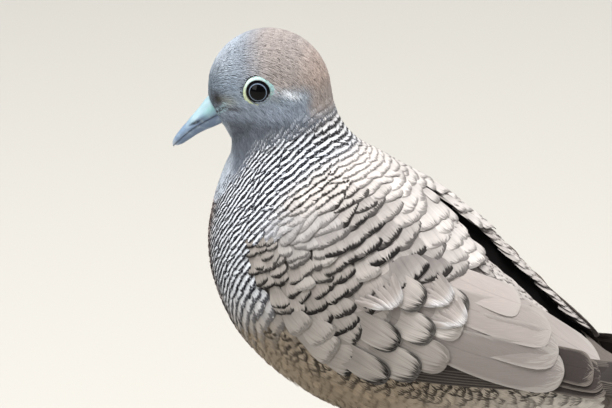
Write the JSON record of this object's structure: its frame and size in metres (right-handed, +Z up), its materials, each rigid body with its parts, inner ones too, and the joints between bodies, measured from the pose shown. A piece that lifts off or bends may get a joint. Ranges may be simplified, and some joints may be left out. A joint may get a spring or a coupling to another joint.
{
  "type": "zebra dove model",
  "caption": "Life-size still model of a small ground dove standing with folded wings, barred neck and breast, long graduated tail.",
  "frame": {"origin": "centre of the model's box, on the floor under the feet", "axes": "-X is forward, the way the bird faces; -Y is its left side; +Z is up"},
  "size_m": [0.1848, 0.0518, 0.1024],
  "materials": {
    "coat": "matte feathers",
    "wing": "matte feathers",
    "flight": "matte stiff feathers",
    "bill": "satin horn",
    "eye": "wet gloss",
    "leg": "scaly matte",
    "claw": "satin horn"
  },
  "bodies": {
    "root": {"head": "coat", "neck": "coat", "trunk": "coat", "thigh_left": "coat", "thigh_right": "coat", "wing_left": "wing", "wing_right": "wing", "tertials_left": "wing", "tertials_right": "wing", "quills_left": "flight", "quills_right": "flight", "tail_middle": "flight", "tail_inner": "flight", "tail_outer": "flight", "bill_upper": "bill", "bill_lower": "bill", "eye_left": "eye", "eye_right": "eye", "shank_left": "leg", "toe_hind_left": "leg", "toe_inner_left": "leg", "toe_middle_left": "leg", "toe_outer_left": "leg", "shank_right": "leg", "toe_hind_right": "leg", "toe_inner_right": "leg", "toe_middle_right": "leg", "toe_outer_right": "leg", "claw_hind_left": "claw", "claw_inner_left": "claw", "claw_middle_left": "claw", "claw_outer_left": "claw", "claw_hind_right": "claw", "claw_inner_right": "claw", "claw_middle_right": "claw", "claw_outer_right": "claw"}
  },
  "joints": []
}
